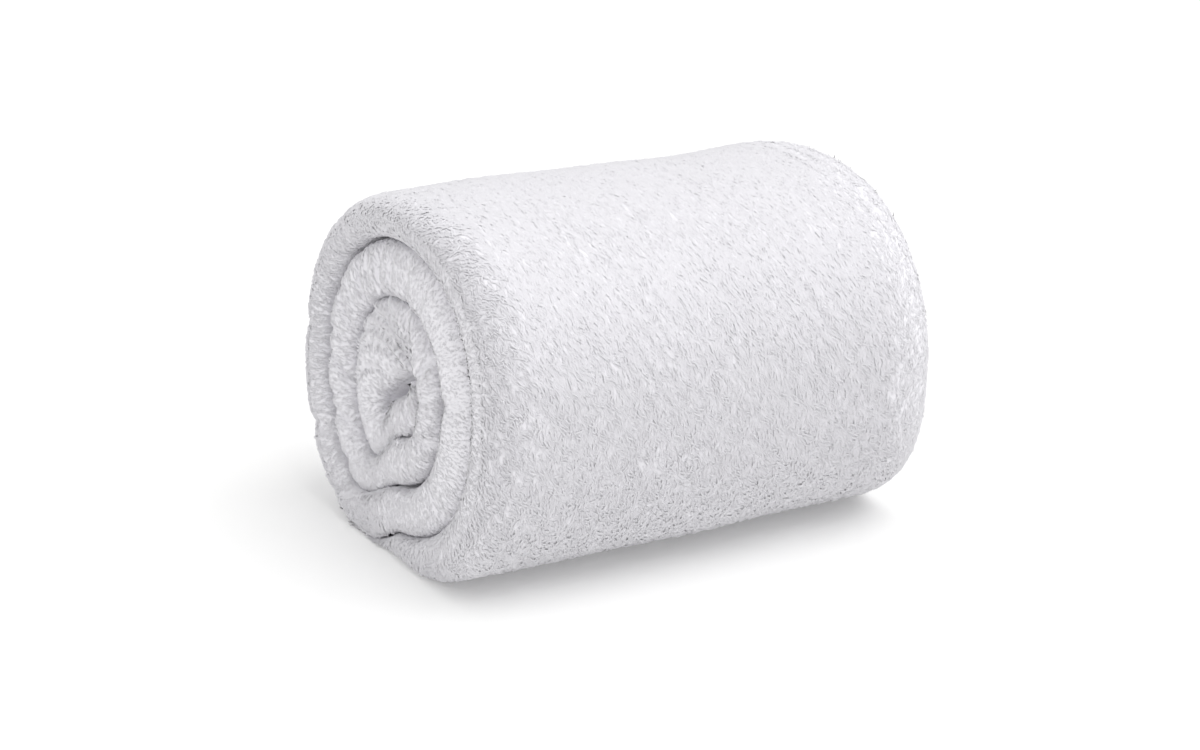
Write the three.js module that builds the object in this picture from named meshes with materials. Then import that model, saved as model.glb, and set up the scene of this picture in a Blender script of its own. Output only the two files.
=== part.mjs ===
// Bath towel of thick white terry, folded in thirds along its length and rolled up.
// One piece of cloth, so one solid: the folded band, wound clockwise as seen from the near end.
// Millimetres. +Z is up and the roll's axis is along Y, with the near end at -Y.
// The origin lies under the middle of the roll, on the surface that it rests on.

import * as THREE from 'three';

// Driving dimensions
const rollLength = 243;        // between the rounded folds at the two ends, along the floor
const rollHeight = 168;
const floorPress = 2.5;        // how far its weight flattens the roll where it rests
const nearLean = 9;            // the near end's top stands back by this much from its foot
const farShrink = 0.975;       // section at the far end, as a share of the near one
const turnGap = 1;             // between one turn of the band and the next
const startAngle = -84;        // degrees from +X, where each turn climbs on to the one before
const bandStart = -0.33;       // turns; the rolled-in end stands beside the hollow
const bandEnd = 3.042;         // turns; the free end lies under the roll
const seamRound = 10;          // how deep a fold is rounded on its inner side
const seamFullness = 2.7;
const tipTurns = { start: 0.1, end: 0.02 };
const tipThickness = 0.2;      // share of the band's thickness left at its two ends
const ringStep = 6.4;
const bendAllowance = 12;      // extra length counted for each radian of bend, for finer tight turns

// The winding, a row for each turn boundary: the section's middle, how far it reaches each way,
// the squareness of its upper and lower half (2 is an ellipse), the tilt of its axes in degrees,
// and the share of the next turn in which the band climbs by its own thickness.
const windings = [
  {
    turn: -1, x: -6, z: 78, left: 16, right: 12, up: 2, down: 1.5, upper: 2, lower: 2, tilt: 36,
    climb: 0.14,
  },
  {
    turn: 0, x: -6, z: 77, left: 22, right: 17, up: 4, down: 21, upper: 2, lower: 2, tilt: 34,
    climb: 0.07,
  },
  {
    turn: 1, x: -6, z: 77, left: 45.5, right: 38.5, up: 42, down: 44.5, upper: 2.15, lower: 2.15, tilt: 0,
    climb: 0.05,
  },
  {
    turn: 2, x: -2.5, z: 80, left: 73.5, right: 68, up: 67.5, down: 68.5, upper: 2.1, lower: 2.1, tilt: 0,
    climb: 0.05,
  },
  {
    turn: 3, x: 0, z: 84, left: 98, right: 98, up: 84, down: 84 + floorPress, upper: 2.2, lower: 2.6, tilt: 0,
    climb: 0.05,
  },
];

// The slit in the middle is widest at the ends and closes towards the middle of the length,
// where it also wanders off to one side.
const hollow = { x: -6, z: 76, reach: 60, closing: 0.7, driftX: 12, driftZ: -9 };

// The folds at the two ends: how far the near and far folds stand in from the ends of the roll,
// how deep their outer side is rounded, and how full that rounding is (2 is a round one). The
// outer turn has soft wide rims, pressed flatter where it rests. Between turns the folds press
// together and meet in tight seams.
const folds = [
  { turn: -1, nearInset: 7, farInset: 8, nearRound: 6, farRound: 6, fullness: 2.6 },
  { turn: 0, nearInset: 4, farInset: 5, nearRound: 9, farRound: 9, fullness: 2.6 },
  { turn: 1, nearInset: 1.5, farInset: 3, nearRound: 10, farRound: 11, fullness: 2.7 },
  { turn: 1.96, nearInset: 0.5, farInset: 1, nearRound: 10, farRound: 12, fullness: 2.7 },
  { turn: 2.07, nearInset: 0, farInset: 0, nearRound: 8, farRound: 12, fullness: 2.3 },
  { turn: 2.16, nearInset: 0, farInset: 0, nearRound: 16, farRound: 22, fullness: 2.1 },
  { turn: 2.25, nearInset: 0, farInset: 0, nearRound: 21, farRound: 27, fullness: 2.1 },
  { turn: 2.78, nearInset: 0, farInset: 0, nearRound: 21, farRound: 27, fullness: 2.1 },
  { turn: 2.9, nearInset: 0, farInset: 0, nearRound: 13, farRound: 17, fullness: 2.1 },
  { turn: 2.95, nearInset: 0, farInset: 0, nearRound: 8, farRound: 12, fullness: 2.2 },
  { turn: 2.99, nearInset: 0, farInset: 0, nearRound: 8, farRound: 11, fullness: 2.3 },
  { turn: 3.04, nearInset: 4, farInset: 4, nearRound: 6, farRound: 8, fullness: 2.3 },
];

// The main creases in the folds, where the cloth gathers round a bend. Turn 2.25 is a quarter
// of the way round the outer turn. Widths run along the band. Slant is how far a crease leans, in
// turns, from the fold's inner side to its outer one.
const creases = [
  { turn: 0.4, depth: 2, width: 5, slant: -0.3, end: 'near' },
  { turn: 0.46, depth: 2.6, width: 5, slant: -0.3, end: 'near' },
  { turn: 0.505, depth: 3, width: 5, slant: -0.26, end: 'near' },
  { turn: 0.57, depth: 2, width: 5, slant: -0.12, end: 'near' },
  { turn: 0.67, depth: 1.8, width: 5, slant: -0.02, end: 'near' },
  { turn: 0.84, depth: 2.4, width: 5, slant: -0.05, end: 'near' },
  { turn: 1.18, depth: 2.2, width: 6, slant: 0, end: 'near' },
  { turn: 1.25, depth: 2.8, width: 5, slant: 0, end: 'near' },
  { turn: 1.33, depth: 2.4, width: 6, slant: 0, end: 'near' },
  { turn: 1.4, depth: 3, width: 6, slant: 0, end: 'near' },
  { turn: 1.46, depth: 2.4, width: 5, slant: 0, end: 'near' },
  { turn: 1.53, depth: 1.6, width: 6, slant: 0, end: 'near' },
  { turn: 1.74, depth: 1.6, width: 8, slant: 0, end: 'near' },
  { turn: 2.18, depth: 1.8, width: 8, slant: 0, end: 'near' },
  { turn: 2.4, depth: 1.5, width: 8, slant: 0, end: 'near' },
  { turn: 0.2, depth: 2.6, width: 6, slant: 0, end: 'far' },
  { turn: 0.55, depth: 2, width: 7, slant: 0, end: 'far' },
  { turn: 1.24, depth: 2.6, width: 7, slant: 0, end: 'far' },
  { turn: 1.42, depth: 2.2, width: 6, slant: 0, end: 'far' },
  { turn: 1.77, depth: 2, width: 8, slant: 0, end: 'far' },
  { turn: 2.28, depth: 2, width: 9, slant: 0, end: 'far' },
];

// The folded band's section: steps along its outer face, round each fold and along its inner face.
const outerSteps = 4;
const foldSteps = 8;
const innerSteps = 3;

const terryWhite = { color: 0xf4f3f6, roughness: 0.96, metalness: 0 };

const radians = Math.PI / 180;
const smooth = (t) => t * t * (3 - 2 * t);
const mix = (a, b, t) => a + (b - a) * t;

// Reads a table of rows at any turn, going evenly from each row to the next.
function rowAt(table, turn) {
  const next = table.findIndex((row) => row.turn > turn);
  if (next === 0) {
    return table[0];
  }
  if (next === -1) {
    return table[table.length - 1];
  }
  const from = table[next - 1];
  const to = table[next];
  const place = (turn - from.turn) / (to.turn - from.turn);
  const row = {};
  for (const name of Object.keys(from)) {
    row[name] = mix(from[name], to[name], place);
  }
  return row;
}

// A turn stays on its own winding but for a short climb at its start.
function windingAt(turn) {
  const whole = Math.floor(turn);
  const climb = rowAt(windings, whole).climb;
  return rowAt(windings, whole + smooth(Math.min((turn - whole) / climb, 1)));
}

// A signed power, which makes an ellipse's cosine and sine into a squarer curve's.
function squared(value, squareness) {
  return Math.sign(value) * Math.abs(value) ** (2 / squareness);
}

// The point that the outer face passes through at a turn, in the section plane.
function outerPoint(turn) {
  const w = windingAt(turn);
  const angle = (startAngle - 360 * turn - w.tilt) * radians;
  const squareness = Math.sin(angle) > 0 ? w.upper : w.lower;
  const across = squared(Math.cos(angle), squareness);
  const upward = squared(Math.sin(angle), squareness);
  const reach = new THREE.Vector2(
    across * (across > 0 ? w.right : w.left),
    upward * (upward > 0 ? w.up : w.down),
  );
  reach.rotateAround(new THREE.Vector2(0, 0), w.tilt * radians);
  return new THREE.Vector2(w.x + reach.x, Math.max(w.z + reach.y, 0));
}

// The band between its inner and outer face, thinned to a rounded tip at both of its ends.
function bandAt(turn) {
  const outer = outerPoint(turn);
  const below = outerPoint(turn - 1);
  const inner = below.clone().lerp(outer, turnGap / Math.max(below.distanceTo(outer), 2 * turnGap));
  const fromStart = Math.min((turn - bandStart) / tipTurns.start, 1);
  const fromEnd = Math.min((bandEnd - turn) / tipTurns.end, 1);
  const rounding = Math.min(Math.sqrt(fromStart * (2 - fromStart)), Math.sqrt(fromEnd * (2 - fromEnd)));
  const thickness = mix(tipThickness, 1, rounding);
  const seat = fromEnd < 1 ? 1 : 0.5;
  const pivot = inner.clone().lerp(outer, seat);
  return {
    inner: inner.sub(pivot).multiplyScalar(thickness).add(pivot),
    outer: outer.sub(pivot).multiplyScalar(thickness).add(pivot),
  };
}

// Where the rings of the mesh stand, evenly along the band and closer together on tight bends.
function ringTurns() {
  const fine = 0.002;
  const turns = [bandStart];
  let run = 0;
  let before = bandAt(bandStart).outer;
  for (let turn = bandStart + fine; turn < bandEnd; turn += fine) {
    const here = bandAt(turn).outer;
    run += here.distanceTo(before) + bendAllowance * fine * 2 * Math.PI;
    before = here;
    if (run >= ringStep) {
      turns.push(turn);
      run = 0;
    }
  }
  turns.push(bandEnd);
  return turns;
}

// How deep the creases of one end are at a turn and share of the band's thickness. Widths become
// turns by the winding's radius.
function creaseDepth(turn, share, end) {
  const w = windingAt(turn);
  const radius = (w.left + w.right + w.up + w.down) / 4;
  let depth = 0;
  for (const crease of creases) {
    if (crease.end === end) {
      const offset = turn - crease.turn - crease.slant * (share - 0.5);
      const distance = offset * 2 * Math.PI * radius / crease.width;
      depth += crease.depth * Math.exp(-distance * distance);
    }
  }
  return depth;
}

// A point of a fold, from its inner edge at -1, over its crest at 0, to its outer edge at 1: the
// share of the band's thickness and the depth behind the crest.
function foldPoint(place, round, fullness) {
  const angle = place * Math.PI / 2;
  const power = place > 0 ? fullness : seamFullness;
  const depth = place > 0 ? round : seamRound;
  return [(1 + squared(Math.sin(angle), power)) / 2, depth * (1 - squared(Math.cos(angle), power))];
}

// The outline of the band's section as pairs: the share of its thickness, from the inner face
// to the outer one, and the place along the roll.
function sectionAt(turn) {
  const fold = rowAt(folds, turn);
  const nearAt = (share) => fold.nearInset - rollLength / 2 + creaseDepth(turn, share, 'near');
  const farAt = (share) => rollLength / 2 - fold.farInset - creaseDepth(turn, share, 'far');
  const points = [];
  for (let i = 0; i < outerSteps; i += 1) {
    points.push([1, mix(nearAt(1) + fold.nearRound, farAt(1) - fold.farRound, i / outerSteps)]);
  }
  for (let i = 0; i < foldSteps; i += 1) {
    const [share, depth] = foldPoint(1 - 2 * i / foldSteps, fold.farRound, fold.fullness);
    points.push([share, farAt(share) - depth]);
  }
  for (let i = 0; i < innerSteps; i += 1) {
    points.push([0, mix(farAt(0) - seamRound, nearAt(0) + seamRound, i / innerSteps)]);
  }
  for (let i = 0; i < foldSteps; i += 1) {
    const [share, depth] = foldPoint(2 * i / foldSteps - 1, fold.nearRound, fold.fullness);
    points.push([share, nearAt(share) + depth]);
  }
  return points;
}

// Closes and bends the hollow, leans the near end back and makes the far end a little smaller.
function settle(x, y, z) {
  const along = Math.min(Math.max((y + rollLength / 2) / rollLength, 0), 1);
  const offsetX = x - hollow.x;
  const offsetZ = z - hollow.z;
  const nearness = smooth(Math.max(1 - Math.hypot(offsetX, offsetZ) / hollow.reach, 0));
  const hold = nearness * Math.sin(Math.PI * along) ** 2;
  const closed = 1 - hollow.closing * hold;
  const size = mix(1, farShrink, smooth(along));
  return new THREE.Vector3(
    (hollow.x + offsetX * closed + hollow.driftX * hold) * size,
    y + nearLean * z / rollHeight * (1 - along),
    (hollow.z + offsetZ * closed + hollow.driftZ * hold) * size,
  );
}

function towelRoll() {
  const turns = ringTurns();
  const positions = [];
  const faces = [];
  let count = 0;
  for (const turn of turns) {
    const band = bandAt(turn);
    const section = sectionAt(turn);
    count = section.length;
    for (const [share, y] of section) {
      const point = band.inner.clone().lerp(band.outer, share);
      positions.push(...settle(point.x, y, point.y).toArray());
    }
  }
  for (let ring = 0; ring < turns.length - 1; ring += 1) {
    for (let i = 0; i < count; i += 1) {
      const a = ring * count + i;
      const b = ring * count + (i + 1) % count;
      faces.push(a, a + count, b, b, a + count, b + count);
    }
  }
  for (const ring of [0, turns.length - 1]) {
    const middle = new THREE.Vector3();
    for (let i = 0; i < count; i += 1) {
      middle.add(new THREE.Vector3().fromArray(positions, (ring * count + i) * 3));
    }
    positions.push(...middle.divideScalar(count).toArray());
    const centre = positions.length / 3 - 1;
    for (let i = 0; i < count; i += 1) {
      const a = ring * count + i;
      const b = ring * count + (i + 1) % count;
      faces.push(...(ring === 0 ? [centre, a, b] : [centre, b, a]));
    }
  }
  const geometry = new THREE.BufferGeometry();
  geometry.setAttribute('position', new THREE.Float32BufferAttribute(positions, 3));
  geometry.setIndex(faces);
  geometry.computeBoundingBox();
  const { min, max } = geometry.boundingBox;
  geometry.translate(-(min.x + max.x) / 2, -(min.y + max.y) / 2, -min.z);
  geometry.computeVertexNormals();
  const towel = new THREE.Mesh(geometry, new THREE.MeshStandardMaterial(terryWhite));
  towel.name = 'towel_roll';
  return towel;
}

const rolledTowel = new THREE.Group();
rolledTowel.add(towelRoll());

export default rolledTowel;
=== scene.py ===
# A thick white terry bath towel, folded in thirds along its length and rolled up.
# Metres. +Z is up, the roll's axis is along Y and its near end is at -Y.

import math

import bmesh
import bpy
import numpy as np
from mathutils import Matrix, Vector


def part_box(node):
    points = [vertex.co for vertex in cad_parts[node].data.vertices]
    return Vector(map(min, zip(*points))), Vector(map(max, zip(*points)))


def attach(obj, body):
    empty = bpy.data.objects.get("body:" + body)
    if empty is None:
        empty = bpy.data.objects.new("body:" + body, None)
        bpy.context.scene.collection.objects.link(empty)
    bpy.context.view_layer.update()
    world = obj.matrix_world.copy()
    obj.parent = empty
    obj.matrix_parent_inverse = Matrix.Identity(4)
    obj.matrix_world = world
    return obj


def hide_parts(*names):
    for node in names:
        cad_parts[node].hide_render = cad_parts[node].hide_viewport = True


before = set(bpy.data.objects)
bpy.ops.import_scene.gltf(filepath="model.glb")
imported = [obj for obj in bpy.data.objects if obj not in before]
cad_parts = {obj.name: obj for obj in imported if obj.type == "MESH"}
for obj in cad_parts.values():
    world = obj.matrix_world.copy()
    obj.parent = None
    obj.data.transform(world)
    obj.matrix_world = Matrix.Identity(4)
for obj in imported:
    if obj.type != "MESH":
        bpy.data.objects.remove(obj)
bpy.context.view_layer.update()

NODE = "towel_roll"
BODY = "root"
random = np.random.default_rng(7)

# The roll's driving dimensions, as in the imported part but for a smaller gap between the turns
ROLL_LENGTH = 0.243
ROLL_HEIGHT = 0.168
FLOOR_PRESS = 0.0025
NEAR_LEAN = 0.009
FAR_SHRINK = 0.975
TURN_GAP = 0.0008
START_ANGLE = math.radians(-84)
BAND_START = -0.33
BAND_END = 3.042
TIP_START = 0.1
TIP_END = 0.02
TIP_THICKNESS = 0.2
TIP_SEAT = {"start": 0.5, "end": 1.0}
SEAM_ROUND = 0.010
SEAM_FULLNESS = 2.7
HEM_FULLNESS = 2.2

# Inside the outer turn, the near seams close by a share where a turn climbs. The centre and the
# reach to either side are parts of a turn.
SEAM_CLOSED_UNTIL = 2.5
SEAM_CLOSED = {"share": 0.6, "centre": 0.04, "before": 0.06, "after": 0.08}


def table(names, *rows):
    """A table with a named column for each word in names."""
    return {name: np.array(column, dtype=float) for name, column in zip(names.split(), zip(*rows))}


# The winding, a row for each turn boundary: the section's middle, its reach each way, the
# squareness of its upper and lower half, the tilt of its axes in degrees and the share of the
# next turn in which it climbs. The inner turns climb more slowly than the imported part's.
WINDINGS = table(
    "turn x z left right up down upper lower tilt climb",
    (-1, -0.0060, 0.0780, 0.016, 0.012, 0.0020, 0.0015, 2.0, 2.0, 36, 0.14),
    (0, -0.0060, 0.0770, 0.022, 0.017, 0.0040, 0.021, 2.0, 2.0, 34, 0.11),
    (1, -0.0060, 0.0770, 0.0455, 0.0385, 0.042, 0.0445, 2.15, 2.15, 0, 0.11),
    (2, -0.0025, 0.0800, 0.0735, 0.068, 0.0675, 0.0685, 2.1, 2.1, 0, 0.05),
    (3, 0.0, 0.084, 0.098, 0.098, 0.084, 0.084 + FLOOR_PRESS, 2.2, 2.6, 0, 0.05),
)

# The hollow in the middle: where it is, and how it closes and drifts between the two ends
HOLLOW = {
    "x": -0.006, "z": 0.076, "reach": 0.060, "closing": 0.78,
    "drift_x": 0.012, "drift_z": -0.009,
}

# The folds at the two ends: how far they stand in, how deep and how full their outer side is.
# The rows from 1.58 to 1.96, which slope the second turn's outer side, are the scene's own.
FOLDS = table(
    "turn near_inset far_inset near_round far_round fullness",
    (-1, 0.0070, 0.008, 0.006, 0.006, 2.6),
    (0, 0.0040, 0.005, 0.009, 0.009, 2.6),
    (1, 0.0015, 0.003, 0.010, 0.011, 2.7),
    (1.58, 0.0015, 0.002, 0.011, 0.011, 2.7),
    (1.68, 0.0025, 0.002, 0.012, 0.011, 2.5),
    (1.84, 0.0025, 0.001, 0.012, 0.012, 2.5),
    (1.96, 0.0010, 0.001, 0.010, 0.012, 2.7),
    (2.07, 0.0, 0.0, 0.008, 0.012, 2.3),
    (2.16, 0.0, 0.0, 0.016, 0.022, 2.1),
    (2.25, 0.0, 0.0, 0.021, 0.027, 2.1),
    (2.78, 0.0, 0.0, 0.021, 0.027, 2.1),
    (2.90, 0.0, 0.0, 0.013, 0.017, 2.1),
    (2.95, 0.0, 0.0, 0.008, 0.012, 2.2),
    (2.99, 0.0, 0.0, 0.008, 0.011, 2.3),
    (3.04, 0.004, 0.004, 0.006, 0.008, 2.3),
)

# Creases in the folds, placed one by one. Slant is how far, in turns, a crease leans between the
# inner and the outer side of its fold; centre is where across the band it is deepest.
CREASES = table(
    "turn depth width slant centre near",
    (0.30, 0.0014, 0.0035, -0.22, 0.5, 1),
    (0.40, 0.0022, 0.0040, -0.30, 0.4, 1),
    (0.46, 0.0033, 0.0045, -0.30, 0.35, 1),
    (0.505, 0.0034, 0.0045, -0.26, 0.4, 1),
    (0.54, 0.0020, 0.0030, -0.20, 0.5, 1),
    (0.575, 0.0024, 0.0040, -0.12, 0.4, 1),
    (0.67, 0.0022, 0.0045, -0.02, 0.7, 1),
    (0.74, 0.0010, 0.0035, -0.03, 0.5, 1),
    (0.84, 0.0026, 0.0045, -0.05, 0.7, 1),
    (0.93, 0.0012, 0.0035, 0.03, 0.6, 1),
    (-0.12, 0.0022, 0.0045, 0.03, 0.4, 1),
    (1.12, 0.0014, 0.0040, 0.02, 0.5, 1),
    (1.18, 0.0024, 0.0050, 0.03, 0.4, 1),
    (1.215, 0.0014, 0.0030, -0.02, 0.6, 1),
    (1.25, 0.0030, 0.0045, 0.03, 0.4, 1),
    (1.29, 0.0016, 0.0030, -0.02, 0.6, 1),
    (1.33, 0.0028, 0.0050, 0.03, 0.4, 1),
    (1.365, 0.0014, 0.0028, 0.01, 0.5, 1),
    (1.40, 0.0032, 0.0045, 0.02, 0.4, 1),
    (1.43, 0.0014, 0.0025, 0.01, 0.6, 1),
    (1.46, 0.0026, 0.0040, 0.01, 0.5, 1),
    (1.495, 0.0016, 0.0028, 0.0, 0.5, 1),
    (1.53, 0.0018, 0.0045, -0.01, 0.4, 1),
    (1.58, 0.0010, 0.0035, -0.01, 0.4, 1),
    (1.74, 0.0016, 0.0070, -0.02, 0.4, 1),
    (1.88, 0.0012, 0.0050, 0.02, 0.6, 1),
    (2.10, 0.0012, 0.0050, 0.02, 0.4, 1),
    (2.18, 0.0020, 0.0070, 0.02, 0.4, 1),
    (2.27, 0.0012, 0.0045, 0.01, 0.4, 1),
    (2.40, 0.0016, 0.0070, -0.01, 0.3, 1),
    (0.20, 0.0028, 0.0050, 0.03, 0.4, 0),
    (0.55, 0.0022, 0.0060, -0.03, 0.4, 0),
    (0.80, 0.0018, 0.0050, 0.02, 0.5, 0),
    (1.10, 0.0016, 0.0050, 0.02, 0.5, 0),
    (1.24, 0.0028, 0.0060, -0.02, 0.4, 0),
    (1.33, 0.0016, 0.0035, 0.02, 0.6, 0),
    (1.42, 0.0024, 0.0050, 0.03, 0.4, 0),
    (1.56, 0.0014, 0.0040, -0.02, 0.6, 0),
    (1.77, 0.0022, 0.0070, 0.02, 0.4, 0),
    (2.28, 0.0020, 0.0080, -0.02, 0.3, 0),
    (2.55, 0.0014, 0.0060, 0.02, 0.3, 0),
)

# Factors on every crease, and how far across the band one reaches
CREASE_DEPTH = 1.5
CREASE_WIDTH = 0.85
CREASE_SPREAD = 0.55

# The cloth: three layers make the band. One fold at the near end wraps all three; at the far
# end the outer two share a fold, and the inner one ends in a hem.
CLOTH_STEP = 0.0032
CLOTH_LIFT = 0.0003
LAYER_GAP = 0.012
HEM_INSET = 0.0035
HEM_ROUND = 0.0045
TUCK = 0.0125

# Points across each part of the folded cloth, and where its hidden layers turn back
CLOTH_POINTS = {"near": 26, "face": 66, "far": 20, "hem": 10, "hidden": 8}
HIDDEN = {
    "far": 0.0090, "near": 0.0110, "bend": 0.0085, "bend_shares": (0.6, 0.4),
    "tuck_bend": 0.0010, "tuck_share": 0.08,
}

# The cloth leaves room for the pile, and less of it where the turns press together
PILE_DEPTH = 0.0010
PRESSED = 0.5
PRESSED_UNTIL = (1.95, 2.05)
DEEPEST_INSET = 0.3

# Slow swells and shallow streaks in the plump cloth. The waves' rows are a weight, a pitch round
# the roll, a pitch along it and a phase.
SWELL = 0.00045
SWELL_WAVES = ((1.0, 9.1, 31, 0.7), (0.8, 17.3, -47, 2.1), (0.6, 29.0, 83, 4.4))
STREAK = 0.00030
STREAK_PITCH = 0.0088
STREAK_WANDER = ((1.6, 5.1, 0, 0.9), (1.1, 13.7, 55, 0))
STREAK_PATCHES = ((1.0, 11.3, -71, 0),)
UNEVEN_INSIDE = 0.3

# The lanes of loops: how they lean down the front, from which turn and over how much of one,
# with the length of a turn there
LEAN = {"angle": 0.5, "from": 2.5, "rise": 0.22, "run": 0.56}

# Soft troughs in the outer face, placed one by one: how wide each is across the lanes of loops and
# how long it is round the roll
TROUGHS = table(
    "turn y depth wide long",
    (2.745, -0.096, 0.0012, 0.0050, 0.006),
    (2.722, -0.100, -0.0007, 0.0060, 0.004),
    (2.53, -0.098, 0.0007, 0.0022, 0.022),
    (2.60, -0.060, 0.0006, 0.0024, 0.020),
    (2.64, -0.048, 0.0007, 0.0020, 0.014),
    (2.57, -0.020, 0.0005, 0.0022, 0.024),
    (2.66, 0.004, 0.0006, 0.0024, 0.018),
    (2.60, 0.034, 0.0006, 0.0022, 0.022),
    (2.70, 0.052, 0.0007, 0.0024, 0.016),
    (2.58, 0.072, 0.0006, 0.0026, 0.024),
    (2.78, -0.030, 0.0005, 0.0026, 0.014),
    (2.35, -0.040, 0.0007, 0.0030, 0.026),
    (2.28, 0.045, 0.0007, 0.0030, 0.022),
)


def smooth(t):
    return t * t * (3 - 2 * t)


def unit(vectors):
    return vectors / np.maximum(np.linalg.norm(vectors, axis=-1, keepdims=True), 1e-12)


def waves(rows, *places):
    """A sum of sine waves: each row has a weight, a pitch for each place and a phase."""
    total = 0
    for weight, *pitches, phase in rows:
        angle = sum(pitch * place for pitch, place in zip(pitches, places))
        total = total + weight * np.sin(angle + phase)
    return total


def squared(value, squareness):
    """A signed power, which makes an ellipse's cosine and sine into a squarer curve's."""
    return np.sign(value) * np.abs(value) ** (2 / squareness)


def row_at(rows, turn):
    """Every column of a table at the given turns."""
    return {name: np.interp(turn, rows["turn"], rows[name]) for name in rows}


def winding_at(turn):
    """A turn stays on its own winding but for a short climb at its start."""
    whole = np.floor(turn)
    row = np.clip(whole - WINDINGS["turn"][0], 0, len(WINDINGS["turn"]) - 1).astype(int)
    climb = WINDINGS["climb"][row]
    return row_at(WINDINGS, whole + smooth(np.minimum((turn - whole) / climb, 1)))


def outer_point(turn):
    """Where the outer face of the band passes, as x and z."""
    w = winding_at(turn)
    tilt = np.radians(w["tilt"])
    angle = START_ANGLE - 2 * math.pi * turn - tilt
    squareness = np.where(np.sin(angle) > 0, w["upper"], w["lower"])
    across = squared(np.cos(angle), squareness)
    upward = squared(np.sin(angle), squareness)
    across = across * np.where(across > 0, w["right"], w["left"])
    upward = upward * np.where(upward > 0, w["up"], w["down"])
    x = w["x"] + across * np.cos(tilt) - upward * np.sin(tilt)
    z = w["z"] + across * np.sin(tilt) + upward * np.cos(tilt)
    return np.stack([x, np.maximum(z, 0)], axis=-1)


def band_at(turn, inset):
    """The band's inner and outer face, each an inset inside the turn's own space."""
    outer = outer_point(turn)
    below = outer_point(turn - 1)
    reach = np.linalg.norm(outer - below, axis=-1)
    inner = below + (outer - below) * (TURN_GAP / np.maximum(reach, 2 * TURN_GAP))[..., None]
    from_start = np.clip((turn - BAND_START) / TIP_START, 0, 1)
    from_end = np.clip((BAND_END - turn) / TIP_END, 0, 1)
    rounding = np.sqrt(np.minimum(from_start * (2 - from_start), from_end * (2 - from_end)))
    thickness = (TIP_THICKNESS + (1 - TIP_THICKNESS) * rounding)[..., None]
    seat = np.where(from_end < 1, TIP_SEAT["end"], TIP_SEAT["start"])[..., None]
    pivot = inner + (outer - inner) * seat
    inner = pivot + (inner - pivot) * thickness
    outer = pivot + (outer - pivot) * thickness
    reach = np.linalg.norm(outer - inner, axis=-1, keepdims=True)
    step = (outer - inner) * np.minimum(inset / np.maximum(reach, 1e-6), DEEPEST_INSET)
    free = np.interp(turn, PRESSED_UNTIL, (PRESSED, 1))[..., None]
    return inner + step * PRESSED, outer - step * free


def crease_depth(turn, share, near):
    """How deep the creases of one end are at each turn and share of the band's thickness."""
    w = winding_at(turn)
    radius = (w["left"] + w["right"] + w["up"] + w["down"]) / 4
    depth = np.zeros(np.broadcast(turn, share).shape)
    for i, at in enumerate(CREASES["turn"]):
        if CREASES["near"][i] == near:
            place = turn - at - CREASES["slant"][i] * (share - 0.5)
            distance = place * 2 * math.pi * radius / (CREASE_WIDTH * CREASES["width"][i])
            across = (share - CREASES["centre"][i]) / CREASE_SPREAD
            depth += CREASE_DEPTH * CREASES["depth"][i] * np.exp(-distance**2 - across**2)
    return depth


def fold_point(place, depth_in, depth_out, fullness):
    """A fold from its inner edge at -1, over its crest at 0, to its outer edge at 1."""
    angle = place * math.pi / 2
    power = np.where(place > 0, fullness, SEAM_FULLNESS)
    depth = np.where(place > 0, depth_out, depth_in)
    return (1 + squared(np.sin(angle), power)) / 2, depth * (1 - squared(np.cos(angle), power))


def lobe_point(place, low, high, depth_in, depth_out, fullness):
    """One rounded lobe across the shares from low to high of the band's thickness."""
    angle = place * math.pi / 2
    power = np.where(place > 0, fullness, HEM_FULLNESS)
    share = (low + high) / 2 + (high - low) / 2 * squared(np.sin(angle), power)
    depth = np.where(place > 0, depth_out, depth_in) * (1 - squared(np.cos(angle), power))
    return share, depth


def lean_at(turn):
    """How far the lanes of loops lean towards the far end on their way down the front."""
    return LEAN["angle"] * np.clip((turn - LEAN["from"]) / LEAN["rise"], 0, 1)


def lane_at(turn, y):
    """A distance across the leaning lanes, equal to y where they do not lean."""
    rise = np.clip(turn - LEAN["from"], 0, LEAN["rise"])
    past = np.maximum(turn - LEAN["from"] - LEAN["rise"], 0)
    return y - LEAN["angle"] * LEAN["run"] * (rise**2 / (2 * LEAN["rise"]) + past)


def lumps(turn, y, share):
    """Slow unevenness of the plump cloth and shallow streaks round it, strongest outside."""
    swell = waves(SWELL_WAVES, turn, y)
    wander = waves(STREAK_WANDER, turn, y)
    streak = np.sin(2 * math.pi * lane_at(turn, y) / STREAK_PITCH + wander)
    streak = streak * (0.5 + 0.5 * waves(STREAK_PATCHES, turn, y))
    trough = np.zeros(np.broadcast(turn, y).shape)
    for i, at in enumerate(TROUGHS["turn"]):
        across = lane_at(turn, y) - lane_at(at, TROUGHS["y"][i])
        around = (turn - at) * LEAN["run"]
        trough += TROUGHS["depth"][i] * np.exp(
            -(across / TROUGHS["wide"][i]) ** 2 - (around / TROUGHS["long"][i]) ** 2
        )
    strength = UNEVEN_INSIDE + (1 - UNEVEN_INSIDE) * share
    return (SWELL * swell + STREAK * streak) * strength - trough * share


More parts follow.
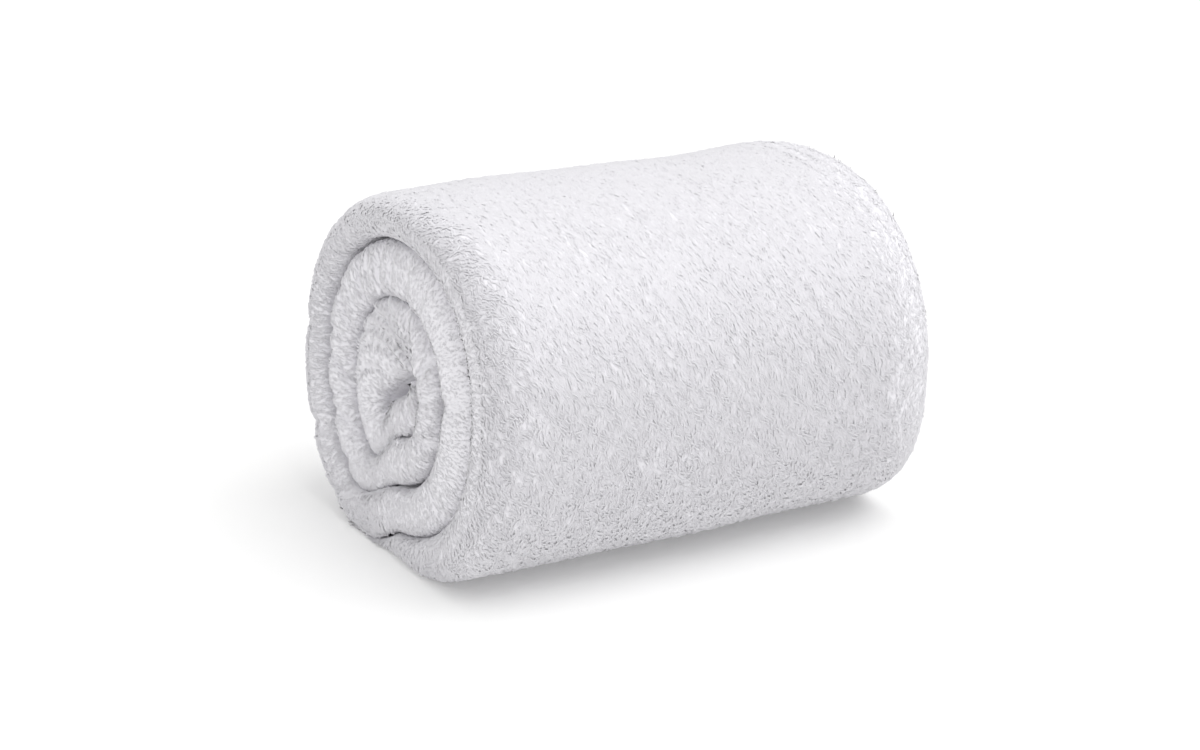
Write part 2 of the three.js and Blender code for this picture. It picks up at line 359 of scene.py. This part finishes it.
def settle(x, y, z):
    """Closes and bends the hollow, leans the near end back and draws the far end in a little."""
    along = np.clip((y + ROLL_LENGTH / 2) / ROLL_LENGTH, 0, 1)
    off_x, off_z = x - HOLLOW["x"], z - HOLLOW["z"]
    hold = smooth(np.maximum(1 - np.hypot(off_x, off_z) / HOLLOW["reach"], 0))
    hold = hold * np.sin(math.pi * along) ** 2
    closed = 1 - HOLLOW["closing"] * hold
    size = 1 + (FAR_SHRINK - 1) * smooth(along)
    return np.stack([
        (HOLLOW["x"] + off_x * closed + HOLLOW["drift_x"] * hold) * size,
        y + NEAR_LEAN * z / ROLL_HEIGHT * (1 - along),
        (HOLLOW["z"] + off_z * closed + HOLLOW["drift_z"] * hold) * size,
    ], axis=-1)


def surface(turn, share, y, inset, uneven=1.0):
    """Points of the band: turn and share are places in the winding, y is along the roll."""
    turn = np.broadcast_to(turn, y.shape)
    inner, outer = band_at(turn, inset)
    at = inner + (outer - inner) * share[..., None]
    normal = outer - inner
    normal = normal / np.maximum(np.linalg.norm(normal, axis=-1, keepdims=True), 1e-6)
    at = at + normal * (uneven * lumps(turn, y, share))[..., None]
    return settle(at[..., 0], y, at[..., 1])


def closed_seam(turn):
    """How deep the near seams stay, as a share: less where a turn climbs."""
    from_climb = (turn + 0.5) % 1 - 0.5 - SEAM_CLOSED["centre"]
    reach = np.where(from_climb < 0, SEAM_CLOSED["before"], SEAM_CLOSED["after"])
    return 1 - SEAM_CLOSED["share"] * np.exp(-(from_climb / reach) ** 2)


def ends(turn, inset):
    """The near and far crest of the folds, before creases, and how deep they are rounded."""
    fold = row_at(FOLDS, turn)
    fold["seam"] = SEAM_ROUND * closed_seam(turn)
    kept = np.where(turn < SEAM_CLOSED_UNTIL, closed_seam(turn), 1)
    fold["near_round"] = fold["near_round"] * kept
    near = -ROLL_LENGTH / 2 + fold["near_inset"] + inset
    far = ROLL_LENGTH / 2 - fold["far_inset"] - inset
    return fold, near, far


def near_skin(turn, place, inset):
    """Share and y of the near fold."""
    fold, near, _ = ends(turn, inset)
    share, depth = fold_point(place, fold["seam"], fold["near_round"], fold["fullness"])
    return share, near + depth + crease_depth(turn, share, 1)


def far_skin(turn, place, inset):
    """Share and y of the far fold, which holds the outer two layers."""
    fold, _, far = ends(turn, inset)
    share, depth = lobe_point(
        place, 1 / 3 + LAYER_GAP, 1, HEM_ROUND, fold["far_round"], fold["fullness"]
    )
    return share, far - depth - crease_depth(turn, share, 0)


def hem_skin(turn, place, inset):
    """Share and y of the inner layer's hem at the far end."""
    _, _, far = ends(turn, inset)
    share, depth = lobe_point(
        place, 0, 1 / 3 - LAYER_GAP, SEAM_ROUND / 2, HEM_ROUND, HEM_FULLNESS
    )
    return share, far - HEM_INSET - depth - crease_depth(turn, share, 0)


RUN_STEPS = 6000
BEND_REACH = 0.010


def band_turns(step):
    """Turns at even steps along the band, closer together on tight bends."""
    fine = np.linspace(BAND_START, BAND_END, RUN_STEPS)
    points = outer_point(fine)
    run = np.linalg.norm(np.diff(points, axis=0), axis=1)
    run = run + BEND_REACH * 2 * math.pi * np.diff(fine)
    run = np.concatenate([[0], np.cumsum(run)])
    return np.interp(np.linspace(0, run[-1], int(run[-1] / step)), run, fine)


def span(start, stop, count):
    """Places from start towards stop, leaving stop to the next stretch."""
    return start + (stop - start) * np.arange(count) / count


def cloth_section(turn, inset):
    """The whole outline of the folded cloth at each turn: shares and y, once round."""
    fold, near, far = ends(turn, inset)
    shares, ys = [], []

    def add(share, y):
        shares.append(np.broadcast_to(share, np.broadcast(turn, y).shape))
        ys.append(np.broadcast_to(y, np.broadcast(turn, y).shape))

    def straight(share, start, stop, count):
        add(share, start + (stop - start) * (np.arange(count) / count)[None, :])

    low, high = 1 / 3, 2 / 3
    hem_y = near + TUCK
    points, hidden = CLOTH_POINTS, CLOTH_POINTS["hidden"]
    add(*near_skin(turn, span(-1, 1, points["near"])[None, :], inset))
    straight(1.0, near + fold["near_round"], far - fold["far_round"], points["face"])
    add(*far_skin(turn, span(1, -1, points["far"])[None, :], inset))
    straight(low + LAYER_GAP, far - HEM_ROUND, hem_y, hidden)
    add(low + HIDDEN["tuck_share"], hem_y - HIDDEN["tuck_bend"])
    add(high - HIDDEN["tuck_share"], hem_y - HIDDEN["tuck_bend"])
    straight(high - LAYER_GAP, hem_y, far - HIDDEN["far"], hidden)
    straight(high + LAYER_GAP, far - HIDDEN["far"], near + HIDDEN["near"], hidden)
    for share in HIDDEN["bend_shares"]:
        add(share, near + HIDDEN["bend"])
    straight(low - LAYER_GAP, near + HIDDEN["near"], far - HEM_INSET - HEM_ROUND, hidden)
    add(*hem_skin(turn, span(1, -1, points["hem"])[None, :], inset))
    straight(0.0, far - HEM_INSET - SEAM_ROUND / 2, near + fold["seam"], hidden)
    return np.concatenate(shares, axis=1), np.concatenate(ys, axis=1)


FRAME_STEP = 0.006
FRAME_PLACES = 17


def frame_shift():
    """What brings the winding's own box on to the frame's box of the node."""
    turn = band_turns(FRAME_STEP)[:, None]
    place = np.linspace(-1, 1, FRAME_PLACES)[None, :]
    low, high = np.full(3, np.inf), np.full(3, -np.inf)
    for share, y in (near_skin(turn, place, 0), far_skin(turn, place, 0)):
        points = surface(turn, share, y, 0, uneven=0).reshape(-1, 3)
        low = np.minimum(low, points.min(axis=0))
        high = np.maximum(high, points.max(axis=0))
    box_low, box_high = (np.array(corner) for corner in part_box(NODE))
    middle = (box_low + box_high - low - high) / 2
    return np.array([middle[0], middle[1], box_low[2] - low[2]])


SHIFT = frame_shift()


def new_mesh(name, points, faces, material):
    """A smooth-shaded object of equal-sided faces, all made at once."""
    mesh = bpy.data.meshes.new(name)
    count, sides = faces.shape
    mesh.vertices.add(len(points))
    mesh.vertices.foreach_set("co", np.ascontiguousarray(points, dtype=np.float32).ravel())
    mesh.loops.add(count * sides)
    mesh.loops.foreach_set("vertex_index", faces.astype(np.int32).ravel())
    mesh.polygons.add(count)
    mesh.polygons.foreach_set("loop_start", np.arange(count, dtype=np.int32) * sides)
    mesh.polygons.foreach_set("use_smooth", np.ones(count, dtype=bool))
    mesh.update(calc_edges=True)
    mesh.validate()
    mesh.materials.append(material)
    piece = bpy.data.objects.new(name, mesh)
    bpy.context.collection.objects.link(piece)
    return piece


def towel_cloth(material):
    """The cloth itself, a thin sheet folded in thirds and wound up."""
    turns = band_turns(CLOTH_STEP)
    share, y = cloth_section(turns[:, None], PILE_DEPTH)
    points = surface(turns[:, None], share, y, PILE_DEPTH) + SHIFT
    points[..., 2] = np.maximum(points[..., 2], CLOTH_LIFT)
    rings, count = share.shape
    i = np.arange(rings - 1)[:, None] * count
    j = np.arange(count)[None, :]
    k = (j + 1) % count
    sides = np.stack([i + j, i + j + count, i + k + count, i + k], axis=-1).reshape(-1, 4)
    piece = new_mesh("towel_cloth", points.reshape(-1, 3), sides, material)
    close_ends(piece, rings, count)
    return piece


def close_ends(piece, rings, count):
    """Caps the two ends of the band with one face each, triangulated."""
    mesh = bmesh.new()
    mesh.from_mesh(piece.data)
    mesh.verts.ensure_lookup_table()
    first = [mesh.verts[i] for i in range(count)]
    last = [mesh.verts[(rings - 1) * count + i] for i in range(count)]
    caps = [mesh.faces.new(first), mesh.faces.new(list(reversed(last)))]
    bmesh.ops.triangulate(mesh, faces=caps)
    bmesh.ops.recalc_face_normals(mesh, faces=mesh.faces)
    mesh.to_mesh(piece.data)
    mesh.free()
    piece.data.polygons.foreach_set("use_smooth", np.ones(len(piece.data.polygons), dtype=bool))


# The pile: small lying locks of loops, each bent over so that both ends sink into the cloth

TUFT_SIDES = 3
TUFTS = {
    1: table("along height radius", (0.40, 1.0, 1.0)),
    2: table("along height radius", (0.24, 0.9, 1.0), (0.68, 0.8, 0.85)),
}
TUFT_ROOT = {"along": -0.08, "height": -0.8}
TUFT_TIP = {"along": 1.0, "height": -0.35}
TUFT_LIFT = 0.0002

# How far the tufts' shading leans towards the skin's own, on the far folds and elsewhere
SOFTNESS = {"near": 0.72, "far": 0.65}


def tufts(name, roots, normals, headings, length, height, radius, curl, rings, softness, material):
    """Joined closed tufts at the given roots, lying along their headings. The shading normals
    lean towards the skin's own, as light spreads through the open loops."""
    count = len(roots)
    side = np.cross(normals, headings)
    shape = TUFTS[rings]
    turn = math.pi / 2 + np.arange(TUFT_SIDES) * 2 * math.pi / TUFT_SIDES
    per = rings * TUFT_SIDES + 2
    points = np.zeros((count, per, 3))
    shades = np.zeros((count, per, 3))

    def centre(along, high):
        bend = curl * along * along
        return (
            roots + headings * (along * length)[:, None]
            + side * (bend * length)[:, None] + normals * (high * height)[:, None]
        )

    for r in range(rings):
        middle = centre(shape["along"][r], shape["height"][r])
        wide = (shape["radius"][r] * radius)[:, None, None]
        ring = (
            side[:, None, :] * np.cos(turn)[None, :, None]
            + normals[:, None, :] * np.sin(turn)[None, :, None]
        )
        points[:, r * TUFT_SIDES:(r + 1) * TUFT_SIDES] = middle[:, None, :] + ring * wide
        shades[:, r * TUFT_SIDES:(r + 1) * TUFT_SIDES] = ring
    points[:, -2] = centre(TUFT_ROOT["along"], TUFT_ROOT["height"])
    points[:, -1] = centre(TUFT_TIP["along"], TUFT_TIP["height"])
    shades[:, -2] = -headings
    shades[:, -1] = headings
    points[..., 2] = np.maximum(points[..., 2], TUFT_LIFT)
    shades = shades * (1 - softness) + normals[:, None, :] * softness

    faces = []
    for s in range(TUFT_SIDES):
        t = (s + 1) % TUFT_SIDES
        faces.append((per - 2, t, s))
        for r in range(rings - 1):
            a, b = r * TUFT_SIDES, (r + 1) * TUFT_SIDES
            faces += [(a + s, a + t, b + s), (a + t, b + t, b + s)]
        last = (rings - 1) * TUFT_SIDES
        faces.append((per - 1, last + s, last + t))
    faces = np.array(faces)[None] + (np.arange(count) * per)[:, None, None]
    piece = new_mesh(name, points.reshape(-1, 3), faces.reshape(-1, 3), material)
    shades = unit(shades.reshape(-1, 3)).astype(np.float32)
    piece.data.normals_split_custom_set_from_vertices(shades)
    return piece


# How much further in the level lies that tells a skin's outside from its inside
PROBE = 0.001


def skin_grid(turn, skin, places, inset):
    """A grid of points of one stretch of skin, with its outward normals and two directions."""
    def level(depth):
        share, y = skin(turn[:, None], places[None, :], depth)
        return surface(turn[:, None], share, y, depth) + SHIFT

    points = level(inset)
    along = np.gradient(points, axis=0)
    across = np.gradient(points, axis=1)
    normal = unit(np.cross(along, across))
    if np.mean(np.sum(normal * (points - level(inset + PROBE)), axis=-1)) < 0:
        normal = -normal
    return points, normal, along, across


def barrel_skin(turn, place, inset):
    """Share and y of the outer face between the folds, from 0 at the near to 1 at the far one."""
    fold, near, far = ends(turn, inset)
    start = near + fold["near_round"]
    stop = far - fold["far_round"]
    y = start + (stop - start) * place
    return np.ones(y.shape), y


def at_grid(grid, row, column):
    """Values of a grid between its points."""
    i = np.clip(row.astype(int), 0, grid.shape[0] - 2)
    j = np.clip(column.astype(int), 0, grid.shape[1] - 2)
    u, v = (row - i)[:, None], (column - j)[:, None]
    return (
        grid[i, j] * (1 - u) * (1 - v) + grid[i + 1, j] * u * (1 - v)
        + grid[i, j + 1] * (1 - u) * v + grid[i + 1, j + 1] * u * v
    )


# How tufts are staggered from row to row and strewn about their places, in pitches
STAGGER = {"start": 0.25, "step": 0.5, "strewn": 0.42}


def scatter(points, row_pitch, tuft_pitch):
    """Places for tufts in rows that run along the band, as row and column of the grid."""
    rings, count = points.shape[:2]
    middle = points[rings // 2]
    run = np.concatenate([[0], np.cumsum(np.linalg.norm(np.diff(middle, axis=0), axis=1))])
    strewn = STAGGER["strewn"]
    rows, columns = [], []
    lines = max(int(run[-1] / row_pitch), 1)
    wide = count / lines
    for line in range(lines):
        column = np.interp((line + 0.5) * run[-1] / lines, run, np.arange(count))
        j = min(int(column), count - 2)
        path = points[:, j] * (1 - (column - j)) + points[:, j + 1] * (column - j)
        steps = np.linalg.norm(np.diff(path, axis=0), axis=1)
        length = np.concatenate([[0], np.cumsum(steps)])
        number = int(length[-1] / tuft_pitch)
        if number > 0:
            place = np.arange(number) + STAGGER["start"] + STAGGER["step"] * (line % 2)
            place = place + random.uniform(-strewn, strewn, number)
            rows.append(np.interp(place * tuft_pitch, length, np.arange(rings)))
            beside = column + random.uniform(-strewn, strewn, number) * wide
            columns.append(np.clip(beside, 0, count - 1.001))
    return np.concatenate(rows), np.concatenate(columns)


# The rows are a weight, a pitch for x, y and z and a phase
DRIFT_WAVES = (
    (1.0, 310, 420, -260, 0.4),
    (0.8, -520, 240, 410, 1.9),
    (0.7, 180, -640, 530, 3.2),
    (0.5, 900, 310, 760, 5.1),
)
DRIFT_SIZE = 1.8


def drift(at):
    """A slow, smooth wander over the skin, mostly between -1 and 1."""
    return waves(DRIFT_WAVES, at[:, 0], at[:, 1], at[:, 2]) / DRIFT_SIZE


# The stretches of skin that show, a row for each: name, skin, the turns and the places that it
# covers, the pitch of its rows and of the tufts in them, and the rings of a tuft. Then comes how
# its tufts lie: length, height, radius, swirl, which is how freely a tuft turns away from its
# heading, and how far that heading is turned across the band. The barrel's lie is in LOOKS.
PILE = (
    ("pile_barrel_back", barrel_skin, (2.09, 2.40), (0, 1), (0.0014, 0.0024), 1),
    ("pile_barrel_top", barrel_skin, (2.40, 2.62), (0, 1), (0.00085, 0.0017), 1),
    ("pile_barrel_front", barrel_skin, (2.62, 2.79), (0, 1), (0.0009, 0.0016), 2),
    ("pile_barrel_low", barrel_skin, (2.79, 2.96), (0, 1), (0.0010, 0.0016), 2),
    ("pile_barrel_base", barrel_skin, (2.96, 3.04), (0, 1), (0.0012, 0.0020), 1),
    ("pile_barrel_start", barrel_skin, (2.02, 2.09), (0, 1), (0.0016, 0.0026), 1),
    ("pile_near_rim", near_skin, (2.02, 3.04), (0, 1), (0.0011, 0.0017), 2,
     (0.0032, 0.00065, 0.00042, 0.60, 0.40)),
    ("pile_near_outer", near_skin, (2.02, 3.04), (-1, 0), (0.0012, 0.0016), 1,
     (0.0034, 0.00030, 0.00040, 0.25, 1.0)),
    ("pile_near_inner", near_skin, (-0.31, 2.02), (-1, 1), (0.0012, 0.0016), 1,
     (0.0029, 0.00020, 0.00037, 0.22, 1.0)),
    ("pile_far_rim", far_skin, (2.02, 3.04), (-1, 1), (0.0011, 0.0018), 1,
     (0.0036, 0.00030, 0.00036, 0.50, 0.25)),
    ("pile_far_inner", far_skin, (-0.31, 2.02), (-1, 1), (0.0016, 0.0024), 1,
     (0.0036, 0.00040, 0.00052, 0.40, 1.0)),
    ("pile_far_hem", hem_skin, (-0.31, 3.04), (-1, 1), (0.0018, 0.0028), 1,
     (0.0036, 0.00040, 0.00050, 0.30, 0.0)),
)

# How the loops of the outer turn lie on its way round. Its rims change over to their own rows.
LOOKS = table(
    "turn length height radius swirl",
    (2.02, 0.0040, 0.00050, 0.00050, 0.80),
    (2.10, 0.0044, 0.00055, 0.00050, 0.50),
    (2.35, 0.0052, 0.00042, 0.00042, 0.28),
    (2.45, 0.0060, 0.00031, 0.00037, 0.22),
    (2.58, 0.0060, 0.00031, 0.00037, 0.24),
    (2.70, 0.0048, 0.00047, 0.00038, 0.36),
    (2.79, 0.0040, 0.00064, 0.00040, 0.50),
    (2.86, 0.0034, 0.00080, 0.00041, 0.68),
    (2.94, 0.0034, 0.00060, 0.00042, 0.70),
    (3.04, 0.0034, 0.00035, 0.00042, 0.80),
)

# The grid under a stretch of pile, the lanes in the outer turn's pile, and how single tufts
# differ: ranges of their sizes, and spreads of heading and curl that grow with the swirl
PILE_GRID = {"per_turn": 260, "least": 8, "across": 90}
LANES = {"pitch": 0.0030, "rise": 0.5, "sink": 0.2, "wander": 2.5, "wander_scale": 0.22}
TUFT_RANGE = {"length": (0.7, 1.35), "height": (0.4, 1.5), "radius": (0.75, 1.3)}
HEADING_SPREAD = {"least": 0.12, "swirl": 0.4}
CURL_SPREAD = {"least": 0.12, "swirl": 0.35, "limit": 1.6}


def own_share(skin, turns, place):
    """How far tufts lie as their own row says: fully inside the roll, and not on its barrel."""
    if turns[0] < 2:
        return 1
    if skin is barrel_skin:
        return 0
    return smooth(np.clip(2 * (1 - place), 0, 1))


def lanes(at_turn, root):
    """The height of the tufts in and between the lanes, as a factor."""
    across = lane_at(at_turn, root[:, 1])
    wander = LANES["wander"] * drift(LANES["wander_scale"] * root)
    return LANES["rise"] * np.sin(2 * math.pi * across / LANES["pitch"] + wander) - LANES["sink"]


def pile(material, name, skin, turns, places, pitches, rings, lie=(0, 0, 0, 0, 0)):
    """The tufts of one stretch of skin."""
    steps = max(int((turns[1] - turns[0]) * PILE_GRID["per_turn"]), PILE_GRID["least"])
    turn = np.linspace(*turns, steps)
    place = np.linspace(*places, PILE_GRID["across"])
    points, normals, along, across = skin_grid(turn, skin, place, PILE_DEPTH)
    row, column = scatter(points, *pitches)
    root = at_grid(points, row, column)
    normal = unit(at_grid(normals, row, column))
    forward = unit(at_grid(along, row, column))
    sideways = unit(np.cross(normal, forward))
    outward = np.sign(np.sum(sideways * at_grid(across, row, column), axis=1))
    count = len(root)

    at_turn = np.interp(row, np.arange(steps), turn)
    own = own_share(skin, turns, np.interp(column, np.arange(len(place)), place))
    outer = row_at(LOOKS, at_turn)
    length, height, radius, swirl = (
        outer[look] * (1 - own) + value * own
        for look, value in zip(("length", "height", "radius", "swirl"), lie)
    )
    lane = 1 + lanes(at_turn, root) * (1 - own)
    lean = lean_at(at_turn) * (1 - own)
    spread = HEADING_SPREAD["least"] + HEADING_SPREAD["swirl"] * swirl
    angle = lean + swirl * drift(root) + spread * random.normal(0, 1, count)
    angle = angle + lie[-1] * own * math.pi / 2 * outward
    heading = forward * np.cos(angle)[:, None] + sideways * np.sin(angle)[:, None]

    length = length * random.uniform(*TUFT_RANGE["length"], count)
    height = height * lane * random.uniform(*TUFT_RANGE["height"], count)
    radius = radius * random.uniform(*TUFT_RANGE["radius"], count)
    limit = CURL_SPREAD["limit"]
    curl = np.clip(random.normal(0, 1, count), -limit, limit)
    curl = (CURL_SPREAD["least"] + CURL_SPREAD["swirl"] * swirl) * curl
    softness = SOFTNESS["far" if skin is far_skin else "near"]
    return tufts(
        name, root, normal, heading, length, height, radius, curl, rings, softness, material
    )


def set_inputs(node, values):
    """Sets a constant on each named socket of a node."""
    for name, value in values.items():
        node.inputs[name].default_value = value


def new_material(name):
    """A material with its node tree's nodes and links and its shader."""
    material = bpy.data.materials.new(name)
    material.use_nodes = True
    tree = material.node_tree
    return material, tree.nodes, tree.links, tree.nodes["Principled BSDF"]


# White looped cotton. The two colours are its lighter and darker patches.
TERRY = {
    "Roughness": 0.95, "Specular IOR Level": 0.15, "Sheen Weight": 0.25, "Sheen Roughness": 0.6,
}
TERRY_LIGHT = {"at": 0.65, "color": (0.91, 0.90, 0.935, 1)}
TERRY_DARK = {"at": 0.3, "color": (0.875, 0.865, 0.90, 1)}
PATCHES = {"Scale": 260.0, "Detail": 3.0}
FIBRES = {"Scale": 1900.0, "Detail": 4.0, "Roughness": 0.6}
FIBRE_DEPTH = 0.0004
FIBRE_STRENGTH = {"terry_ground": 0.3, "terry_pile": 0.35}


def terry_material(name):
    """Slightly uneven white, matt, with a soft sheen and fibrous bump."""
    material, nodes, links, shader = new_material(name)
    set_inputs(shader, TERRY)
    place = nodes.new("ShaderNodeTexCoord")
    patches = nodes.new("ShaderNodeTexNoise")
    set_inputs(patches, PATCHES)
    ramp = nodes.new("ShaderNodeValToRGB")
    for element, tone in zip(ramp.color_ramp.elements, (TERRY_DARK, TERRY_LIGHT)):
        element.position = tone["at"]
        element.color = tone["color"]
    fibres = nodes.new("ShaderNodeTexNoise")
    set_inputs(fibres, FIBRES)
    bump = nodes.new("ShaderNodeBump")
    set_inputs(bump, {"Strength": FIBRE_STRENGTH[name], "Distance": FIBRE_DEPTH})
    links.new(place.outputs["Object"], patches.inputs["Vector"])
    links.new(place.outputs["Object"], fibres.inputs["Vector"])
    links.new(patches.outputs["Fac"], ramp.inputs["Fac"])
    links.new(ramp.outputs["Color"], shader.inputs["Base Color"])
    links.new(fibres.outputs["Fac"], bump.inputs["Height"])
    links.new(bump.outputs["Normal"], shader.inputs["Normal"])
    return material


def build_towel():
    """The cloth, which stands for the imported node, and the pile that rides with it."""
    ground = terry_material("terry_ground")
    loops = terry_material("terry_pile")
    cloth = towel_cloth(ground)
    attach(cloth, BODY)
    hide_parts(NODE)
    for row in PILE:
        piece = pile(loops, *row)
        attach(piece, BODY)


# The studio: a pale floor, soft light from above and a camera at the photograph's angle

FLOOR_SIZE = 12.0
# The floor glows weakly in white. This is painted light: it lifts the shadows on the floor and
# lights the roll's underside.
FLOOR = {
    "Roughness": 0.9, "Specular IOR Level": 0.1,
    "Emission Color": (1, 1, 1, 1), "Emission Strength": 0.15,
}
FLOOR_TONES = ((0.82, 0.82, 0.815, 1), (0.84, 0.84, 0.835, 1))
FLOOR_GRAIN = 3.0
WORLD_LIGHT = 0.80
SUN = {"strength": 1.32, "softness": math.radians(50), "from": (0.30, 0.26, 0.92)}
CAMERA = {
    "azimuth": math.radians(58.8),
    "elevation": math.radians(20.1),
    "roll": math.radians(1.28),
    "distance": 1.721,
    "lens": 109.2,
    "centre": (0, 0.002, 0.084),
    "aim_right": -0.0075,
    "aim_up": -0.0157,
    "sensor_width": 36.0,
    "clip_start": 0.05,
}


def studio():
    """A floor, an even white surround and one soft sun."""
    material, nodes, links, shader = new_material("studio_floor")
    set_inputs(shader, FLOOR)
    grain = nodes.new("ShaderNodeTexNoise")
    set_inputs(grain, {"Scale": FLOOR_GRAIN})
    ramp = nodes.new("ShaderNodeValToRGB")
    for element, tone in zip(ramp.color_ramp.elements, FLOOR_TONES):
        element.color = tone
    links.new(grain.outputs["Fac"], ramp.inputs["Fac"])
    links.new(ramp.outputs["Color"], shader.inputs["Base Color"])
    half = FLOOR_SIZE / 2
    corners = np.array([(-half, -half, 0), (half, -half, 0), (half, half, 0), (-half, half, 0)])
    floor = new_mesh("studio_floor", corners, np.array([[0, 1, 2, 3]]), material)

    world = bpy.data.worlds.new("studio")
    world.use_nodes = True
    background = world.node_tree.nodes["Background"]
    set_inputs(background, {"Color": (1, 1, 1, 1), "Strength": WORLD_LIGHT})
    bpy.context.scene.world = world

    light = bpy.data.lights.new("sun", "SUN")
    light.energy = SUN["strength"]
    light.angle = SUN["softness"]
    sun = bpy.data.objects.new("sun", light)
    sun.rotation_euler = Vector(SUN["from"]).to_track_quat("Z", "Y").to_euler()
    bpy.context.collection.objects.link(sun)


def camera():
    """A camera that looks at the roll from its azimuth and elevation, a little rolled."""
    azimuth, elevation = CAMERA["azimuth"], CAMERA["elevation"]
    back = Vector((
        math.sin(azimuth) * math.cos(elevation),
        -math.cos(azimuth) * math.cos(elevation),
        math.sin(elevation),
    ))
    right = Vector((math.cos(azimuth), math.sin(azimuth), 0))
    up = back.cross(right)
    centre = Vector(CAMERA["centre"])
    place = centre + back * CAMERA["distance"]
    aim = centre + right * CAMERA["aim_right"] + up * CAMERA["aim_up"]
    back = (place - aim).normalized()
    right = Vector((0, 0, 1)).cross(back).normalized()
    turned = Matrix.Rotation(CAMERA["roll"], 3, back)
    right = turned @ right
    up = back.cross(right)
    data = bpy.data.cameras.new("camera")
    data.lens = CAMERA["lens"]
    data.sensor_width = CAMERA["sensor_width"]
    data.clip_start = CAMERA["clip_start"]
    item = bpy.data.objects.new("camera", data)
    item.matrix_world = Matrix((
        (right.x, up.x, back.x, place.x),
        (right.y, up.y, back.y, place.y),
        (right.z, up.z, back.z, place.z),
        (0, 0, 0, 1),
    ))
    bpy.context.collection.objects.link(item)
    bpy.context.scene.camera = item


camera()
studio()
build_towel()
bpy.context.scene.view_settings.view_transform = "Standard"
